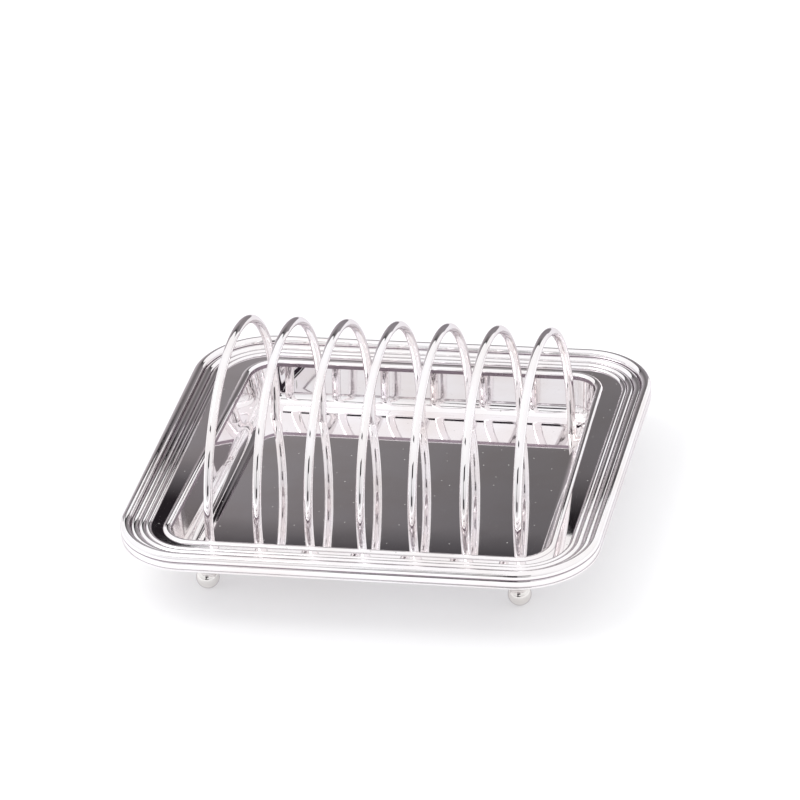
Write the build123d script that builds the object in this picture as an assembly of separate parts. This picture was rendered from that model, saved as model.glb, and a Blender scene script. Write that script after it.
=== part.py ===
from build123d import *

# Toast rack: seven wire hoops riveted into a tray with a reeded border, on four ball feet.
# Units are millimetres. +X runs along the row of hoops, -Y is the front and +Z is up. The
# origin is on the table, under the middle of the tray.

import os

# Hoops and the slots between them
HOOP_COUNT = 7
HOOP_PITCH = 23.0
WIRE_DIAMETER = 4.0
HOOP_RADIUS = 61.4            # centre line of the wire
HOOP_CENTRE_ABOVE_FLOOR = 15.0

# Riveted ends that hold the hoops in the tray's floor
SPIGOT_DIAMETER = 3.0
SPIGOT_ROOT = 0.5             # length of the spigot that runs up inside the wire
WASHER_DIAMETER = 5.4
WASHER_THICKNESS = 0.7
RIVET_HEAD_DIAMETER = 4.2
RIVET_HEAD_HEIGHT = 0.8
RIVET_HEAD_ROUND = 0.6

# Tray: half sizes are measured to the inner edge of the raised lip, and the mouth of the
# well is a little longer at the front than at the back
SHEET = 1.2
WELL_HALF_LENGTH_FRONT = 83.2
WELL_HALF_LENGTH_BACK = 79.4
WELL_HALF_WIDTH = 76.7
WELL_CORNER = 12.0
WELL_DEPTH = 20.0             # from the crest of the lip to the floor
WELL_DRAFT = 8.0              # degrees that the wall leans outwards
FLOOR_FILLET = 6.4
LIP_WIDTH = 3.4
LIP_HEIGHT = 0.95             # above the flat band

# Reeded border: half sizes are measured to its inner edge, where the flat band ends
BORDER_HALF_LENGTH = 91.8
BORDER_HALF_WIDTH = 82.9
BORDER_CORNER = 20.0
BORDER_SEAT = 9.0             # width of the border that lies on the tray's flange

# Ball feet
BALL_DIAMETER = 10.3
BALL_CENTRE_HEIGHT = 4.8
COLLAR_DIAMETER = 4.4
FOOT_X = 69.0
FOOT_Y = 65.0

# Heights above the table
FLOOR_UNDERSIDE = 10.3
FLOOR_TOP = FLOOR_UNDERSIDE + SHEET
LIP_TOP = FLOOR_TOP + WELL_DEPTH
BAND_TOP = LIP_TOP - LIP_HEIGHT
HOOP_CENTRE = FLOOR_TOP + HOOP_CENTRE_ABOVE_FLOOR

# Where each leg of a hoop meets the floor, and the place of each hoop along the row
LEG_Y = (HOOP_RADIUS**2 - HOOP_CENTRE_ABOVE_FLOOR**2) ** 0.5
HOOP_X = [HOOP_PITCH * (i - (HOOP_COUNT - 1) / 2) for i in range(HOOP_COUNT)]

UPWARDS = (Align.CENTER, Align.CENTER, Align.MIN)
DOWNWARDS = (Align.CENTER, Align.CENTER, Align.MAX)


def closed_section(arcs, corners):
    """A closed face in the XZ plane: arcs through three points, then straight lines."""
    edges = [ThreePointArc(*[Vector(x, 0, z) for x, z in arc]) for arc in arcs]
    for start, end in zip(corners, corners[1:]):
        edges.append(Line(Vector(start[0], 0, start[1]), Vector(end[0], 0, end[1])))
    return Face(Wire(edges))


def carried_round(section, half_length, half_width, corner):
    """Carry a section round a rounded rectangle; the section's X is measured outwards."""
    straight_x = half_length - corner
    straight_y = half_width - corner
    end_run = extrude(Pos(half_length, straight_y, 0) * section, 2 * straight_y, dir=(0, -1, 0))
    face = Rot(0, 0, 90) * Pos(half_width, straight_x, 0) * section
    long_run = extrude(face, 2 * straight_x, dir=(1, 0, 0))
    bend = revolve(Pos(corner, 0, 0) * section, Axis.Z, 90)
    opposite = Rot(0, 0, 180)
    ring = end_run + long_run + opposite * end_run + opposite * long_run
    for quarter, (x, y) in enumerate([(1, 1), (-1, 1), (-1, -1), (1, -1)]):
        ring = ring + Pos(x * straight_x, y * straight_y, 0) * Rot(0, 0, 90 * quarter) * bend
    return ring


def flange_plate():
    """Flat flange of the tray, which carries the border."""
    outline = RectangleRounded(
        2 * (BORDER_HALF_LENGTH + BORDER_SEAT),
        2 * (BORDER_HALF_WIDTH + BORDER_SEAT),
        BORDER_CORNER + BORDER_SEAT,
    )
    return extrude(Pos(0, 0, BAND_TOP - SHEET) * outline, SHEET)


def well_mouth():
    """Outline of the mouth of the well, at the level of the flat band."""
    front, back = WELL_HALF_LENGTH_FRONT, WELL_HALF_LENGTH_BACK
    depth = WELL_HALF_WIDTH
    sharp = Polygon((-front, -depth), (front, -depth), (back, depth), (-back, depth), align=None)
    return Pos(0, 0, BAND_TOP) * fillet(sharp.vertices(), WELL_CORNER)


def lip_bead():
    """Raised bead round the mouth of the well."""
    low = BAND_TOP - SHEET / 2
    arc = [(0, BAND_TOP), (LIP_WIDTH / 2, LIP_TOP), (LIP_WIDTH, BAND_TOP)]
    corners = [(LIP_WIDTH, BAND_TOP), (LIP_WIDTH, low), (0, low), (0, BAND_TOP)]
    path = well_mouth().face().outer_wire()
    start = path @ 0
    outwards = (path % 0).cross(Vector(0, 0, 1))
    side = Plane(origin=(start.X, start.Y, 0), x_dir=outwards, z_dir=(0, 0, 1))
    return sweep(side.location * closed_section([arc], corners), path=path)


def tapered_block(grow, bottom):
    """The well's shape grown sideways: narrower at the bottom, with a rounded bottom edge."""
    outline = offset(well_mouth(), grow)
    block = extrude(outline, bottom - BAND_TOP, taper=WELL_DRAFT)
    return fillet(block.faces().sort_by(Axis.Z)[0].edges(), FLOOR_FILLET + grow)


def leg_places(height):
    """Where the legs of the hoops meet the floor, at a height."""
    return [(x, side * LEG_Y, height) for x in HOOP_X for side in (-1, 1)]


def tray_pan():
    """Pressed tray: flange, raised lip, drafted well and a floor with holes for the legs."""
    outside = tapered_block(SHEET, FLOOR_UNDERSIDE)
    inside = tapered_block(0, FLOOR_TOP)
    pan = flange_plate() + lip_bead() + outside - inside
    hole = Cylinder(SPIGOT_DIAMETER / 2, 3 * SHEET)
    return pan - [Pos(*place) * hole for place in leg_places(FLOOR_TOP)]


def reeded_border():
    """Border round the tray: three small reeds, a large bead, then a reeded skirt."""
    reeds = [
        [(0, 0), (0.8, 0.9), (2.4, 0.4)],
        [(2.4, 0.4), (3.9, 1.3), (5.4, 0.5)],
        [(5.4, 0.5), (7.1, 1.8), (8.9, 1.3)],
        [(8.9, 1.3), (11.1, 4.0), (13.1, 0.5)],
        [(13.1, 0.5), (13.45, -1.1), (13.1, -2.7)],
        [(13.1, -2.7), (13.35, -3.4), (12.9, -4.0)],
    ]
    skirt_inside = [(12.9, -4.0), (12.1, -4.0), (12.1, 0.6), (11.2, 1.6), (BORDER_SEAT, 0), (0, 0)]
    section = Pos(0, 0, BAND_TOP) * closed_section(reeds, skirt_inside)
    return carried_round(section, BORDER_HALF_LENGTH, BORDER_HALF_WIDTH, BORDER_CORNER)


def hoop(x):
    """Round wire bent to an arc, with a riveted spigot through the floor at each end."""
    section = Plane.XZ * Pos(HOOP_RADIUS, 0) * Circle(WIRE_DIAMETER / 2)
    ring = Pos(x, 0, HOOP_CENTRE) * Rot(0, 90, 0) * revolve(section, Axis.Z, 360)
    below = Box(2 * WIRE_DIAMETER, 4 * HOOP_RADIUS, 2 * HOOP_RADIUS, align=DOWNWARDS)
    wire = ring - Pos(x, 0, FLOOR_TOP) * below
    seat = FLOOR_UNDERSIDE - WASHER_THICKNESS
    spigot = Cylinder(SPIGOT_DIAMETER / 2, FLOOR_TOP + SPIGOT_ROOT - seat, align=UPWARDS)
    head = Cylinder(RIVET_HEAD_DIAMETER / 2, RIVET_HEAD_HEIGHT, align=DOWNWARDS)
    head = fillet(head.faces().sort_by(Axis.Z)[0].edges(), RIVET_HEAD_ROUND)
    for side in (-1, 1):
        wire = wire + Pos(x, side * LEG_Y, seat) * (spigot + head)
    return wire


def leg_washers():
    """A washer under the floor at each riveted leg, as separate solids."""
    disc = Cylinder(WASHER_DIAMETER / 2, WASHER_THICKNESS, align=DOWNWARDS)
    washer = disc - Cylinder(SPIGOT_DIAMETER / 2, 3 * WASHER_THICKNESS)
    return Compound(children=[Pos(*place) * washer for place in leg_places(FLOOR_UNDERSIDE)])


def ball_foot(x, y):
    """Ball with a short collar soldered under the floor, and a small flat to stand on."""
    collar = Cylinder(COLLAR_DIAMETER / 2, FLOOR_UNDERSIDE - BALL_CENTRE_HEIGHT, align=UPWARDS)
    foot = Pos(x, y, BALL_CENTRE_HEIGHT) * (Sphere(BALL_DIAMETER / 2) + collar)
    under_table = Box(BALL_DIAMETER, BALL_DIAMETER, BALL_DIAMETER, align=DOWNWARDS)
    return foot - Pos(x, y, 0) * under_table


def sub_parts():
    """Every sub-part by the name of its node."""
    nodes = {"tray_pan": tray_pan(), "reeded_border": reeded_border(), "leg_washers": leg_washers()}
    for number, x in enumerate(HOOP_X, start=1):
        nodes[f"hoop_{number}"] = hoop(x)
    for end, x in (("left", -FOOT_X), ("right", FOOT_X)):
        nodes[f"ball_foot_front_{end}"] = ball_foot(x, -FOOT_Y)
        nodes[f"ball_foot_back_{end}"] = ball_foot(x, FOOT_Y)
    return nodes


os.makedirs("parts", exist_ok=True)
for node_name, shape in sub_parts().items():
    export_step(shape, f"parts/{node_name}.step")
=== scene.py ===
import math

import bpy
from mathutils import Matrix, Vector


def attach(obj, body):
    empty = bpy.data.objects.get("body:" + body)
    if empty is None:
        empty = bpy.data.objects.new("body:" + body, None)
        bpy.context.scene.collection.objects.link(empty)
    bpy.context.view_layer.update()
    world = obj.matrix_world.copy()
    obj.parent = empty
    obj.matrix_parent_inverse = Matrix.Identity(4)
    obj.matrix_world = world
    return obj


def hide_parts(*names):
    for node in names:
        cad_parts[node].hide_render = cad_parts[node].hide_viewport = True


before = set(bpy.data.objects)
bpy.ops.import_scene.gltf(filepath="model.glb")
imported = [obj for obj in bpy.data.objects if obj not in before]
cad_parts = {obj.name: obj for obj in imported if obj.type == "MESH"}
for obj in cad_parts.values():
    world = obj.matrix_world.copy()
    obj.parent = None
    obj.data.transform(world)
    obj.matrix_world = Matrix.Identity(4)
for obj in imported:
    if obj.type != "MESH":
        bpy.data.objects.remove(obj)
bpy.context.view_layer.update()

MM = 0.001

# ---------------------------------------------------------------- dimensions, in millimetres
# Hoops
HOOP_COUNT = 7
HOOP_PITCH = 23.0
WIRE_RADIUS = 2.0
HOOP_RADIUS = 61.4
HOOP_CENTRE_ABOVE_FLOOR = 15.0
# Each hoop was set by hand: (sideways offset of its feet, further offset of its top)
HOOP_SET = [(1.4, 1.8), (0.2, 1.4), (0.1, 1.1), (0.1, 1.0), (0.0, 0.7), (0.0, 0.0), (0.0, 0.3)]
END_OVERRUN = 0.012           # radians that the arc runs on past the floor's surface
END_DEPTH = 0.1               # how far the ends go into the floor

# Riveted spigots, one under each end of a hoop
SPIGOT_RADIUS = 1.5
SPIGOT_COVER = 0.2            # sheet left over the top of the spigot
WASHER_THICKNESS = 0.7
RIVET_HEAD = [(2.0, 0.0), (2.1, 0.1), (2.1, 0.35), (1.9, 0.6), (1.45, 0.76), (0.8, 0.8)]  # (radius, depth)

# Tray
SHEET = 1.2
WELL_FRONT, WELL_BACK, WELL_WIDTH, WELL_CORNER = 83.2, 79.4, 76.7, 12.0
WELL_DEPTH = 20.0
DRAFT = math.radians(8.0)
FLOOR_FILLET = 6.4
FLOOR_RINGS = (1.5, 0.2)      # rings of the flat floor just inside its fillet
LIP_WIDTH = 3.4
LIP_HEIGHT = 0.95

# Reeded border
BORDER_LENGTH, BORDER_WIDTH, BORDER_CORNER = 91.8, 82.9, 20.0
BORDER_SEAT = 9.0

# Heights above the table
FLOOR_UNDERSIDE = 10.3
FLOOR_TOP = FLOOR_UNDERSIDE + SHEET
LIP_TOP = FLOOR_TOP + WELL_DEPTH
BAND_TOP = LIP_TOP - LIP_HEIGHT
HOOP_CENTRE = FLOOR_TOP + HOOP_CENTRE_ABOVE_FLOOR
RIVET_TOP = FLOOR_UNDERSIDE - WASHER_THICKNESS

# Where each leg of a hoop meets the floor, and the place of each hoop along the row
LEG_Y = math.sqrt(HOOP_RADIUS**2 - HOOP_CENTRE_ABOVE_FLOOR**2)
HOOP_X = [HOOP_PITCH * (i - (HOOP_COUNT - 1) / 2) for i in range(HOOP_COUNT)]

# How finely the round shapes are divided
WIRE_SIDES = 32
HOOP_STEPS = 150
FILLET_STEPS = 14
OUTER_FILLET_STEPS = 12
WALL_STEPS = 8
LIP_STEPS = 28
REED_STEPS = 16

# ---------------------------------------------------------------- small mesh helpers


def arc3(a, b, c, count):
    """Points along the arc from a through b to c, with both ends."""
    ax, ay = a
    bx, by = b
    cx, cy = c
    d = 2 * (ax * (by - cy) + bx * (cy - ay) + cx * (ay - by))
    aa, bb, cc = ax * ax + ay * ay, bx * bx + by * by, cx * cx + cy * cy
    ux = (aa * (by - cy) + bb * (cy - ay) + cc * (ay - by)) / d
    uy = (aa * (cx - bx) + bb * (ax - cx) + cc * (bx - ax)) / d
    radius = math.hypot(ax - ux, ay - uy)
    start = math.atan2(ay - uy, ax - ux)
    middle = math.atan2(by - uy, bx - ux)
    end = math.atan2(cy - uy, cx - ux)
    turn = (end - start) % (2 * math.pi)
    if (middle - start) % (2 * math.pi) > turn:
        turn -= 2 * math.pi
    return [
        (ux + radius * math.cos(start + turn * i / count), uy + radius * math.sin(start + turn * i / count))
        for i in range(count + 1)
    ]


def straight(start, end, normal, steps):
    """Stations between two points, without the points themselves."""
    (x0, y0), (x1, y1) = start, end
    return [((x0 + i / steps * (x1 - x0), y0 + i / steps * (y1 - y0)), normal) for i in range(1, steps)]


def round_path(sharp, corner, arc_steps=28, straight_steps=16):
    """Stations round a convex outline with rounded corners: (point, outward normal)."""
    count = len(sharp)
    normals = []
    for k in range(count):
        (x0, y0), (x1, y1) = sharp[k], sharp[(k + 1) % count]
        length = math.hypot(x1 - x0, y1 - y0)
        normals.append(((y1 - y0) / length, (x0 - x1) / length))
    stations = []
    for k in range(count):
        n0, n1 = normals[k - 1], normals[k]
        px, py = sharp[k]
        a0, a1 = math.atan2(n0[1], n0[0]), math.atan2(n1[1], n1[0])
        turn = (a1 - a0) % (2 * math.pi)
        reach = corner / math.cos(turn / 2)
        mid = a0 + turn / 2
        cx, cy = px - reach * math.cos(mid), py - reach * math.sin(mid)
        if stations:
            first = (cx + corner * n0[0], cy + corner * n0[1])
            stations += straight(stations[-1][0], first, n0, straight_steps)
        for i in range(arc_steps + 1):
            a = a0 + turn * i / arc_steps
            n = (math.cos(a), math.sin(a))
            stations.append(((cx + corner * n[0], cy + corner * n[1]), n))
    stations += straight(stations[-1][0], stations[0][0], normals[-1], straight_steps)
    return stations


WELL_PATH = round_path(
    [
        (-WELL_FRONT, -WELL_WIDTH),
        (WELL_FRONT, -WELL_WIDTH),
        (WELL_BACK, WELL_WIDTH),
        (-WELL_BACK, WELL_WIDTH),
    ],
    WELL_CORNER,
)
BORDER_PATH = round_path(
    [
        (-BORDER_LENGTH, -BORDER_WIDTH),
        (BORDER_LENGTH, -BORDER_WIDTH),
        (BORDER_LENGTH, BORDER_WIDTH),
        (-BORDER_LENGTH, BORDER_WIDTH),
    ],
    BORDER_CORNER,
)


def link_new(name, data):
    obj = bpy.data.objects.new(name, data)
    bpy.context.scene.collection.objects.link(obj)
    return obj


def make_object(name, verts, faces, material, sharp, groove=()):
    """A smooth piece in metres on the root body; faces listed in groove take the rougher silver darkened with
    painted shade.
    """
    mesh = bpy.data.meshes.new(name)
    mesh.from_pydata([(x * MM, y * MM, z * MM) for x, y, z in verts], [], faces)
    mesh.polygons.foreach_set("use_smooth", [True] * len(mesh.polygons))
    mesh.update()
    mesh.set_sharp_from_angle(angle=math.radians(sharp))
    mesh.materials.append(material)
    if groove:
        mesh.materials.append(mat_groove_shade)
        for face in groove:
            mesh.polygons[face].material_index = 1
    obj = link_new(name, mesh)
    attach(obj, "root")
    return obj


def swept_ring(stations, profile, closed):
    """Carry a profile of (outward, height) points round the stations."""
    verts, faces = [], []
    n, m = len(stations), len(profile)
    for (px, py), (nx, ny) in stations:
        for r, z in profile:
            verts.append((px + r * nx, py + r * ny, z))
    last = m if closed else m - 1
    for i in range(n):
        j = (i + 1) % n
        for k in range(last):
            after = (k + 1) % m
            faces.append((i * m + k, j * m + k, j * m + after, i * m + after))
    return verts, faces


# ---------------------------------------------------------------- materials


def add_dust(nodes, links, coords, bsdf, out):
    """A few specks of dust lying on the polish."""
    cells = nodes.new("ShaderNodeTexVoronoi")
    cells.voronoi_dimensions = "2D"
    cells.inputs["Scale"].default_value = 85.0
    links.new(coords.outputs["Object"], cells.inputs["Vector"])
    near = nodes.new("ShaderNodeMath")
    near.operation = "LESS_THAN"
    near.inputs[1].default_value = 0.027
    links.new(cells.outputs["Distance"], near.inputs[0])
    split = nodes.new("ShaderNodeSeparateColor")
    links.new(cells.outputs["Color"], split.inputs["Color"])
    some = nodes.new("ShaderNodeMath")
    some.operation = "MULTIPLY"
    links.new(near.outputs[0], some.inputs[0])
    links.new(split.outputs["Red"], some.inputs[1])
    speck = nodes.new("ShaderNodeBsdfDiffuse")
    speck.inputs["Color"].default_value = (0.55, 0.54, 0.52, 1)
    mix = nodes.new("ShaderNodeMixShader")
    links.new(some.outputs[0], mix.inputs["Fac"])
    links.new(bsdf.outputs["BSDF"], mix.inputs[1])
    links.new(speck.outputs["BSDF"], mix.inputs[2])
    links.new(mix.outputs["Shader"], out.inputs["Surface"])


def noise(nodes, links, coords, scale, detail):
    node = nodes.new("ShaderNodeTexNoise")
    node.inputs["Scale"].default_value = scale
    node.inputs["Detail"].default_value = detail
    links.new(coords.outputs["Object"], node.inputs["Vector"])
    return node


def two_stop_ramp(nodes, low, low_colour, high, high_colour):
    node = nodes.new("ShaderNodeValToRGB")
    for element, place, colour in zip(node.color_ramp.elements, (low, high), (low_colour, high_colour)):
        element.position = place
        element.color = (*colour, 1)
    return node


def bumped(nodes, links, height, distance):
    node = nodes.new("ShaderNodeBump")
    node.inputs["Strength"].default_value = 1.0
    node.inputs["Distance"].default_value = distance
    links.new(height.outputs["Fac"], node.inputs["Height"])
    return node


def silver(name, base, roughness, wave, wave_scale, grain, edge_shade_from, dust=False):
    """Polished silver plate: faint large waves, fine wipe marks, a little tarnish and painted shade darkening
    its grazing edges.
    """
    mat = bpy.data.materials.new(name)
    mat.use_nodes = True
    nodes, links = mat.node_tree.nodes, mat.node_tree.links
    nodes.clear()
    out = nodes.new("ShaderNodeOutputMaterial")
    bsdf = nodes.new("ShaderNodeBsdfPrincipled")
    links.new(bsdf.outputs["BSDF"], out.inputs["Surface"])
    bsdf.inputs["Metallic"].default_value = 1.0
    coords = nodes.new("ShaderNodeTexCoord")

    # colour: tarnish in soft patches, and painted edge shade darkening it towards grazing angles
    tarnish = noise(nodes, links, coords, 38.0, 5.0)
    tarnished = (base[0] * 0.95, base[1] * 0.93, base[2] * 0.91)
    tint = two_stop_ramp(nodes, 0.35, tarnished, 0.62, base)
    links.new(tarnish.outputs["Fac"], tint.inputs["Fac"])
    graze = nodes.new("ShaderNodeLayerWeight")
    graze.inputs["Blend"].default_value = 0.5
    # painted shade: the base colour fades to a dark mauve towards grazing angles, drawing dark outlines
    painted_edge_shade = two_stop_ramp(nodes, edge_shade_from, (1, 1, 1), 1.0, PAINTED_EDGE_SHADE)
    links.new(graze.outputs["Facing"], painted_edge_shade.inputs["Fac"])
    tint_with_edge_shade = nodes.new("ShaderNodeMix")
    tint_with_edge_shade.data_type = "RGBA"
    tint_with_edge_shade.blend_type = "MULTIPLY"
    tint_with_edge_shade.inputs["Factor"].default_value = 1.0
    links.new(tint.outputs["Color"], tint_with_edge_shade.inputs["A"])
    links.new(painted_edge_shade.outputs["Color"], tint_with_edge_shade.inputs["B"])
    links.new(tint_with_edge_shade.outputs["Result"], bsdf.inputs["Base Color"])

    # roughness: rubbed in places
    rub = noise(nodes, links, coords, 160.0, 6.0)
    rough = nodes.new("ShaderNodeMapRange")
    rough.inputs["From Min"].default_value = 0.3
    rough.inputs["From Max"].default_value = 0.75
    rough.inputs["To Min"].default_value = roughness
    rough.inputs["To Max"].default_value = roughness * 2.2
    links.new(rub.outputs["Fac"], rough.inputs["Value"])
    links.new(rough.outputs["Result"], bsdf.inputs["Roughness"])

    # surface: large waves, then fine grain over them
    waves = bumped(nodes, links, noise(nodes, links, coords, wave_scale, 1.0), wave)
    grains = bumped(nodes, links, noise(nodes, links, coords, 900.0, 2.0), grain)
    links.new(waves.outputs["Normal"], grains.inputs["Normal"])
    links.new(grains.outputs["Normal"], bsdf.inputs["Normal"])
    if dust:
        add_dust(nodes, links, coords, bsdf, out)
    return mat


SILVER = (0.945, 0.925, 0.94)
# painted shade: the dark colour given to the groove bottoms and the feet of the lip
GROOVE_SHADE_SILVER = (0.36, 0.30, 0.345)
FOOT_SILVER = (0.86, 0.84, 0.82)
# painted edge shade: the colour mixed into the silver towards grazing angles
PAINTED_EDGE_SHADE = (0.34, 0.26, 0.32)

# wave and grain are depths in metres
# each material also sets the facing value where its painted edge shade begins
mat_tray = silver(
    "silver_tray", SILVER, 0.02, wave=2e-5, wave_scale=45.0, grain=4e-7, edge_shade_from=0.8, dust=True
)
mat_border = silver("silver_border", SILVER, 0.04, wave=3e-5, wave_scale=60.0, grain=1e-6, edge_shade_from=0.62)
# rougher silver whose dark colour is painted shade in the creases
mat_groove_shade = silver(
    "silver_groove_shade", GROOVE_SHADE_SILVER, 0.22, wave=3e-5, wave_scale=60.0, grain=2e-6, edge_shade_from=0.7
)
mat_hoop = silver("silver_hoop", SILVER, 0.03, wave=2e-5, wave_scale=70.0, grain=6e-7, edge_shade_from=0.6)
mat_foot = silver("silver_foot", FOOT_SILVER, 0.05, wave=2e-5, wave_scale=150.0, grain=1e-6, edge_shade_from=0.55)

# ---------------------------------------------------------------- tray


def tray_profile():
    """Section of the pan's inside face from the floor up the wall and over the lip."""
    tan = math.tan(DRAFT)
    floor_r = -(BAND_TOP - FLOOR_TOP) * tan
    # centre of the floor fillet: tangent to the floor and to the leaning wall
    reach = FLOOR_FILLET * math.tan((math.pi / 2 - DRAFT) / 2)
    cx, cz = floor_r - reach, FLOOR_TOP + FLOOR_FILLET
    top = [(cx - ring, FLOOR_TOP) for ring in FLOOR_RINGS]
    for i in range(FILLET_STEPS + 1):
        t = math.radians(270) + (math.pi / 2 - DRAFT) * i / FILLET_STEPS
        top.append((cx + FLOOR_FILLET * math.cos(t), cz + FLOOR_FILLET * math.sin(t)))
    wall_low = top[-1]
    for i in range(1, WALL_STEPS):
        t = i / WALL_STEPS
        top.append((wall_low[0] * (1 - t), wall_low[1] + t * (BAND_TOP - wall_low[1])))
    top += arc3((0, BAND_TOP), (LIP_WIDTH / 2, LIP_TOP), (LIP_WIDTH, BAND_TOP), LIP_STEPS)
    return top


def build_tray():
    stations = WELL_PATH
    inner = tray_profile()
    verts, faces = swept_ring(stations, inner, closed=False)
    n, m = len(stations), len(inner)
    # the band runs out to the edge of the flange, which follows the border's outline
    outer = BORDER_PATH
    base = len(verts)
    for (px, py), (nx, ny) in outer:
        for r, z in [(0.0, BAND_TOP), (BORDER_SEAT, BAND_TOP), (BORDER_SEAT, BAND_TOP - SHEET)]:
            verts.append((px + r * nx, py + r * ny, z))
    for i in range(n):
        j = (i + 1) % n
        faces.append((i * m + m - 1, j * m + m - 1, base + j * 3, base + i * 3))
        faces.append((base + i * 3, base + j * 3, base + j * 3 + 1, base + i * 3 + 1))
        faces.append((base + i * 3 + 1, base + j * 3 + 1, base + j * 3 + 2, base + i * 3 + 2))
    # outside of the well, from the flange down to the floor's underside
    tan = math.tan(DRAFT)
    radius = FLOOR_FILLET + SHEET
    reach = radius * math.tan((math.pi / 2 - DRAFT) / 2)
    floor_r = SHEET - (BAND_TOP - FLOOR_UNDERSIDE) * tan
    cx, cz = floor_r - reach, FLOOR_UNDERSIDE + radius
    # the bend under the flange takes three points
    under = BAND_TOP - SHEET
    outside = [(SHEET + 1.4, under), (SHEET + 0.4, under - 0.35), (SHEET - 1.6 * tan, under - 1.4)]
    for i in range(OUTER_FILLET_STEPS + 1):
        t = -DRAFT - (math.pi / 2 - DRAFT) * i / OUTER_FILLET_STEPS
        outside.append((cx + radius * math.cos(t), cz + radius * math.sin(t)))
    base2 = len(verts)
    k = len(outside)
    for (px, py), (nx, ny) in stations:
        for r, z in outside:
            verts.append((px + r * nx, py + r * ny, z))
    for i in range(n):
        j = (i + 1) % n
        faces.append((base + i * 3 + 2, base + j * 3 + 2, base2 + j * k, base2 + i * k))
        for q in range(k - 1):
            faces.append((base2 + i * k + q, base2 + j * k + q, base2 + j * k + q + 1, base2 + i * k + q + 1))
    faces.append([i * m for i in range(n)])
    faces.append([base2 + i * k + k - 1 for i in reversed(range(n))])
    # the narrow strips at the two feet of the lip are rougher and darkened with painted shade
    groove = [i * (m - 1) + k for i in range(n) for k in (m - 2 - LIP_STEPS, m - 2)]
    obj = make_object("tray", verts, faces, mat_tray, sharp=24.0, groove=groove)
    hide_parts("tray_pan")


def build_border():
    # arcs through three points, (outward from the band's edge, above the band), then the hollow underside
    reeds = [
        ((0, 0), (0.8, 0.9), (2.4, 0.4)),
        ((2.4, 0.4), (3.9, 1.3), (5.4, 0.5)),
        ((5.4, 0.5), (7.1, 1.8), (8.9, 1.3)),
        ((8.9, 1.3), (11.1, 4.0), (13.1, 0.5)),
        ((13.1, 0.5), (13.45, -1.1), (13.1, -2.7)),
        ((13.1, -2.7), (13.35, -3.4), (12.9, -4.0)),
    ]
    profile = []
    for reed in reeds:
        profile += arc3(*reed, REED_STEPS)[:-1]
    profile += [(12.9, -4.0), (12.1, -4.0), (12.1, 0.6), (11.2, 1.6), (BORDER_SEAT, 0.0)]
    profile = [(r, z + BAND_TOP) for r, z in profile]
    verts, faces = swept_ring(BORDER_PATH, profile, closed=True)
    # the bottoms of the grooves between the reeds are rougher and darkened with painted shade
    dull_shaded = {0}
    for k in range(1, len(reeds)):
        dull_shaded |= {k * REED_STEPS - 1, k * REED_STEPS}
    m = len(profile)
    groove = [i * m + k for i in range(len(BORDER_PATH)) for k in sorted(dull_shaded)]
    obj = make_object("border", verts, faces, mat_border, sharp=24.0, groove=groove)
    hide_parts("reeded_border")


def rivet(verts, faces, x, y):
    """Add the spigot through the floor and its closed head under the washer."""
    section = [(SPIGOT_RADIUS, FLOOR_TOP - SPIGOT_COVER), (SPIGOT_RADIUS, RIVET_TOP)]
    section += [(r, RIVET_TOP - depth) for r, depth in RIVET_HEAD]
    base = len(verts)
    for r, z in section:
        for k in range(WIRE_SIDES):
            a = 2 * math.pi * k / WIRE_SIDES
            verts.append((x + r * math.cos(a), y + r * math.sin(a), z))
    for i in range(len(section) - 1):
        upper, lower = base + i * WIRE_SIDES, base + (i + 1) * WIRE_SIDES
        for k in range(WIRE_SIDES):
            after = (k + 1) % WIRE_SIDES
            faces.append((upper + after, upper + k, lower + k, lower + after))
    faces.append([base + k for k in range(WIRE_SIDES)])
    last = base + (len(section) - 1) * WIRE_SIDES
    faces.append([last + k for k in reversed(range(WIRE_SIDES))])


def build_hoop(number, x):
    foot_shift, top_shift = HOOP_SET[number - 1]
    # the ends run a little past the floor's surface, so that no edge of them lifts off it
    start = math.asin((FLOOR_TOP - HOOP_CENTRE) / HOOP_RADIUS) - END_OVERRUN
    verts, faces = [], []
    for i in range(HOOP_STEPS + 1):
        t = start + (math.pi - 2 * start) * i / HOOP_STEPS
        cy, cz = HOOP_RADIUS * math.cos(t), HOOP_CENTRE + HOOP_RADIUS * math.sin(t)
        for k in range(WIRE_SIDES):
            a = 2 * math.pi * k / WIRE_SIDES
            off = WIRE_RADIUS * math.cos(a)
            z = max(FLOOR_TOP - END_DEPTH, cz + off * math.sin(t))
            lean = foot_shift + top_shift * (z - FLOOR_TOP) / (HOOP_CENTRE + HOOP_RADIUS - FLOOR_TOP)
            verts.append((x + lean + WIRE_RADIUS * math.sin(a), cy + off * math.cos(t), z))
    for i in range(HOOP_STEPS):
        ring, following = i * WIRE_SIDES, (i + 1) * WIRE_SIDES
        for k in range(WIRE_SIDES):
            after = (k + 1) % WIRE_SIDES
            faces.append((ring + k, ring + after, following + after, following + k))
    faces.append([k for k in reversed(range(WIRE_SIDES))])
    faces.append([HOOP_STEPS * WIRE_SIDES + k for k in range(WIRE_SIDES)])
    for y in (-LEG_Y, LEG_Y):
        rivet(verts, faces, x, y)
    obj = make_object(f"wire_hoop_{number}", verts, faces, mat_hoop, sharp=50.0)
    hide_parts(f"hoop_{number}")


def polish_carried_over():
    """The ball feet and the washers keep their CAD shape and only take a material."""
    feet = [f"ball_foot_{end}_{side}" for end in ("front", "back") for side in ("left", "right")]
    for name in [*feet, "leg_washers"]:
        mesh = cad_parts[name].data
        mesh.materials.clear()
        mesh.materials.append(mat_foot)
        mesh.polygons.foreach_set("use_smooth", [True] * len(mesh.polygons))


build_tray()
build_border()
for number, x in enumerate(HOOP_X, start=1):
    build_hoop(number, x)
polish_carried_over()

# ---------------------------------------------------------------- floor, light and camera


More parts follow.
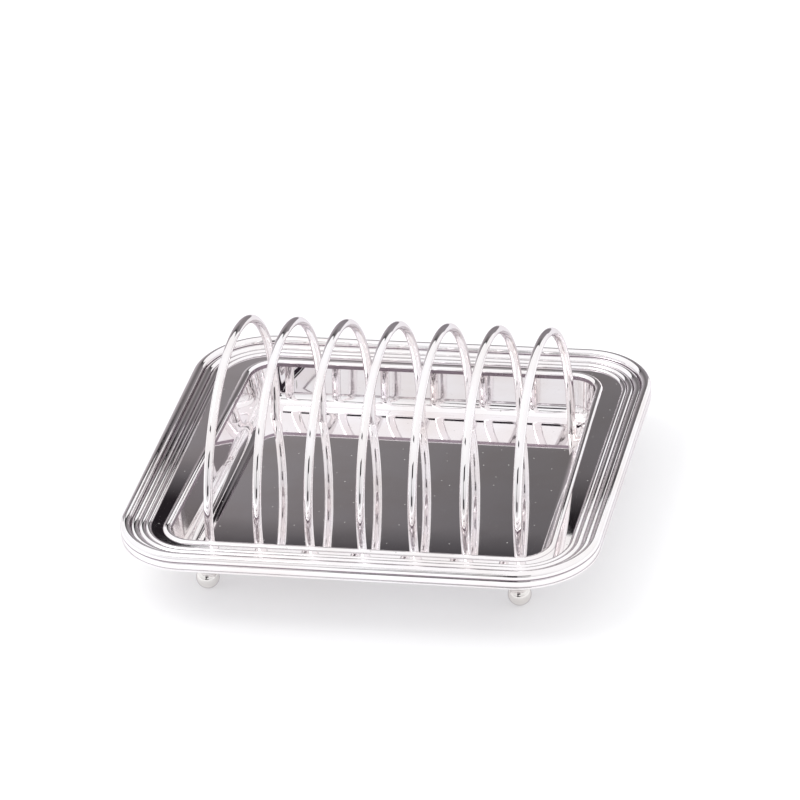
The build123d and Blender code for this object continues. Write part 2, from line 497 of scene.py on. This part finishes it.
# From here on, lengths are in metres
FLOOR_REACH = 12.0
PANEL_Y = 0.45                # the grey panel, behind the table
PANEL_HEIGHT = 0.4            # over which its ramp of grey runs
CARD_Y = -2.6                 # the dark things, in front
CLOTH_NEAR, CLOTH_REACH, CLOTH_LIFT = -0.45, 2.0, 0.002


def white_floor():
    mesh = bpy.data.meshes.new("floor")
    reach = FLOOR_REACH
    corners = [(-reach, -reach, 0), (reach, -reach, 0), (reach, reach, 0), (-reach, reach, 0)]
    mesh.from_pydata(corners, [], [(0, 1, 2, 3)])
    obj = link_new("floor", mesh)
    mat = bpy.data.materials.new("floor")
    mat.use_nodes = True
    bsdf = mat.node_tree.nodes["Principled BSDF"]
    bsdf.inputs["Base Color"].default_value = (0.70, 0.70, 0.70, 1)
    bsdf.inputs["Emission Color"].default_value = (0.98, 0.98, 1.0, 1)
    bsdf.inputs["Emission Strength"].default_value = 0.33
    bsdf.inputs["Roughness"].default_value = 0.6
    bsdf.inputs["Specular IOR Level"].default_value = 0.2
    mesh.materials.append(mat)


def studio_material(name):
    """A light-giving material for things only reflections see."""
    mat = bpy.data.materials.new(name)
    mat.use_nodes = True
    nodes, links = mat.node_tree.nodes, mat.node_tree.links
    nodes.clear()
    out = nodes.new("ShaderNodeOutputMaterial")
    glow = nodes.new("ShaderNodeEmission")
    links.new(glow.outputs["Emission"], out.inputs["Surface"])
    return mat, glow


def studio_card(name, corners, material):
    """A card that only reflections see."""
    mesh = bpy.data.meshes.new(name)
    mesh.from_pydata(corners, [], [tuple(range(len(corners)))])
    mesh.materials.append(material)
    obj = link_new(name, mesh)
    obj.visible_camera = False
    obj.visible_diffuse = False
    obj.visible_shadow = False


def ramp_of(nodes, stops, span):
    """A colour ramp from (place, colour) stops over 0 to span."""
    node = nodes.new("ShaderNodeValToRGB")
    ramp = node.color_ramp
    while len(ramp.elements) < len(stops):
        ramp.elements.new(0.5)
    for element, (place, colour) in zip(ramp.elements, stops):
        element.position = place / span
        element.color = (*colour, 1)
    return node


def world_light():
    """White studio, a little dimmer low down in front. The stops are (elevation in degrees, colour)."""
    world = bpy.data.worlds.new("studio")
    bpy.context.scene.world = world
    world.use_nodes = True
    nodes, links = world.node_tree.nodes, world.node_tree.links
    nodes.clear()
    out = nodes.new("ShaderNodeOutputWorld")
    back = nodes.new("ShaderNodeBackground")
    links.new(back.outputs["Background"], out.inputs["Surface"])
    coords = nodes.new("ShaderNodeTexCoord")
    split = nodes.new("ShaderNodeSeparateXYZ")
    links.new(coords.outputs["Generated"], split.inputs["Vector"])
    angle = nodes.new("ShaderNodeMath")
    angle.operation = "ARCSINE"
    links.new(split.outputs["Z"], angle.inputs[0])
    lift = nodes.new("ShaderNodeMath")
    lift.operation = "DIVIDE"
    lift.inputs[1].default_value = math.pi / 2
    links.new(angle.outputs[0], lift.inputs[0])
    bright, brighter = (1.05, 1.05, 1.06), (1.08, 1.08, 1.09)
    rear = ramp_of(nodes, [(0, (0.98, 0.98, 0.99)), (30, bright), (70, brighter)], 90)
    low = [(0, (0.74, 0.73, 0.75)), (12, (0.90, 0.90, 0.91))]
    front = ramp_of(nodes, [*low, (40, bright), (70, brighter)], 90)
    links.new(lift.outputs[0], rear.inputs["Fac"])
    links.new(lift.outputs[0], front.inputs["Fac"])
    side = nodes.new("ShaderNodeMapRange")
    side.interpolation_type = "SMOOTHSTEP"
    side.inputs["From Min"].default_value = -0.75
    side.inputs["From Max"].default_value = -0.35
    links.new(split.outputs["Y"], side.inputs["Value"])
    mix = nodes.new("ShaderNodeMix")
    mix.data_type = "RGBA"
    links.new(side.outputs["Result"], mix.inputs["Factor"])
    links.new(front.outputs["Color"], mix.inputs["A"])
    links.new(rear.outputs["Color"], mix.inputs["B"])
    links.new(mix.outputs["Result"], back.inputs["Color"])
    back.inputs["Strength"].default_value = 1.0


def grey_panel():
    """The grey panel standing behind the table; its upper edge falls into black.

    The stops are (height in millimetres, colour) and the outline is (x, z).
    """
    mat, glow = studio_material("grey_panel")
    nodes, links = mat.node_tree.nodes, mat.node_tree.links
    coords = nodes.new("ShaderNodeTexCoord")
    split = nodes.new("ShaderNodeSeparateXYZ")
    links.new(coords.outputs["Object"], split.inputs["Vector"])
    stops = [
        (0, (0.42, 0.40, 0.42)),
        (120, (0.40, 0.375, 0.395)),
        (225, (0.33, 0.305, 0.32)),
        (262, (0.24, 0.226, 0.232)),
        (312, (0.20, 0.187, 0.195)),
        (326, (0.105, 0.098, 0.105)),
        (340, (0.016, 0.013, 0.016)),
        (400, (0.008, 0.006, 0.008)),
    ]
    rise = ramp_of(nodes, stops, PANEL_HEIGHT / MM)
    height = nodes.new("ShaderNodeMath")
    height.operation = "DIVIDE"
    height.inputs[1].default_value = PANEL_HEIGHT
    links.new(split.outputs["Z"], height.inputs[0])
    links.new(height.outputs[0], rise.inputs["Fac"])
    fall = nodes.new("ShaderNodeMapRange")
    fall.inputs["From Min"].default_value = -0.24
    fall.inputs["From Max"].default_value = -0.04
    fall.inputs["To Min"].default_value = 1.2
    fall.inputs["To Max"].default_value = 0.72
    links.new(split.outputs["X"], fall.inputs["Value"])
    links.new(rise.outputs["Color"], glow.inputs["Color"])
    links.new(fall.outputs["Result"], glow.inputs["Strength"])
    outline = [
        (-0.54, 0.0),
        (0.20, 0.0),
        (0.185, 0.345),
        (-0.025, 0.352),
        (-0.17, 0.366),
        (-0.27, 0.376),
        (-0.34, 0.335),
        (-0.52, 0.30),
    ]
    studio_card("grey_panel", [(x, PANEL_Y, z) for x, z in outline], mat)


def dark_cards():
    """Unlit things in front: the camera's side of the room and a gap between the ceiling lights."""
    mat, glow = studio_material("dark_card")
    glow.inputs["Color"].default_value = (0.025, 0.018, 0.025, 1)
    glow.inputs["Strength"].default_value = 1.0
    outline = [
        (-0.60, -0.02),
        (-0.60, 0.34),
        (-0.40, 0.45),
        (-0.40, 1.00),
        (-0.62, 1.12),
        (-0.62, 1.65),
        (1.00, 1.85),
        (1.00, 1.10),
        (0.12, 1.00),
        (0.12, 0.36),
        (0.90, 0.34),
        (0.90, -0.02),
    ]
    studio_card("camera_side", [(x, CARD_Y, z) for x, z in outline], mat)
    gap = [(-3.6, CARD_Y, 3.6), (-0.66, CARD_Y, 3.0), (-0.63, -2.5, 3.35), (-3.6, -2.5, 4.1)]
    studio_card("ceiling_gap", gap, mat)


def front_cloth():
    """The greyer part of the table towards the camera, out of its sight."""
    mat, glow = studio_material("front_cloth")
    glow.inputs["Color"].default_value = (0.76, 0.75, 0.76, 1)
    glow.inputs["Strength"].default_value = 1.0
    reach = CLOTH_REACH
    places = [(-reach, CARD_Y), (reach, CARD_Y), (reach, CLOTH_NEAR), (-reach, CLOTH_NEAR)]
    studio_card("front_cloth", [(x, y, CLOTH_LIFT) for x, y in places], mat)


def soft_box(name, place, target, size, power):
    data = bpy.data.lights.new(name, "AREA")
    data.shape = "RECTANGLE"
    data.size, data.size_y = size
    data.energy = power
    obj = link_new(name, data)
    obj.location = place
    obj.rotation_euler = (Vector(target) - Vector(place)).to_track_quat("-Z", "Y").to_euler()


# Camera: angles in radians, the rest in millimetres
CAMERA_AZIMUTH, CAMERA_ELEVATION, CAMERA_ROLL = 0.2523508, 0.5239642, 0.0818878
CAMERA_DISTANCE = 2200.0
CAMERA_ASIDE = (-4.3578533, 24.0333678)  # of the tray's middle from the axis, to the right and down
SENSOR, LENS = 36.0, 225.34758


def photo_camera():
    """A long lens from the front, above and a little to the right, rolled slightly."""
    az, el, roll = CAMERA_AZIMUTH, CAMERA_ELEVATION, CAMERA_ROLL
    forward = Vector((-math.sin(az) * math.cos(el), math.cos(az) * math.cos(el), -math.sin(el)))
    level = Vector((math.cos(az), math.sin(az), 0.0))
    plumb = -level.cross(forward)
    right = math.cos(roll) * level + math.sin(roll) * plumb
    down = -math.sin(roll) * level + math.cos(roll) * plumb
    aside_right, aside_down = CAMERA_ASIDE
    place = Vector((0, 0, LIP_TOP)) - right * aside_right - down * aside_down - forward * CAMERA_DISTANCE
    data = bpy.data.cameras.new("camera")
    data.sensor_width = SENSOR
    data.lens = LENS
    data.clip_start, data.clip_end = 0.05, 60.0
    obj = link_new("camera", data)
    rotation = Matrix((right, -down, -forward)).transposed()
    obj.matrix_world = Matrix.Translation(place * MM) @ rotation.to_4x4()
    bpy.context.scene.camera = obj


white_floor()
world_light()
grey_panel()
dark_cards()
front_cloth()
soft_box("key", (-0.9, -0.2, 1.5), (0, 0, 0), (0.9, 0.9), 6.0)
photo_camera()
bpy.context.scene.view_settings.view_transform = "Standard"
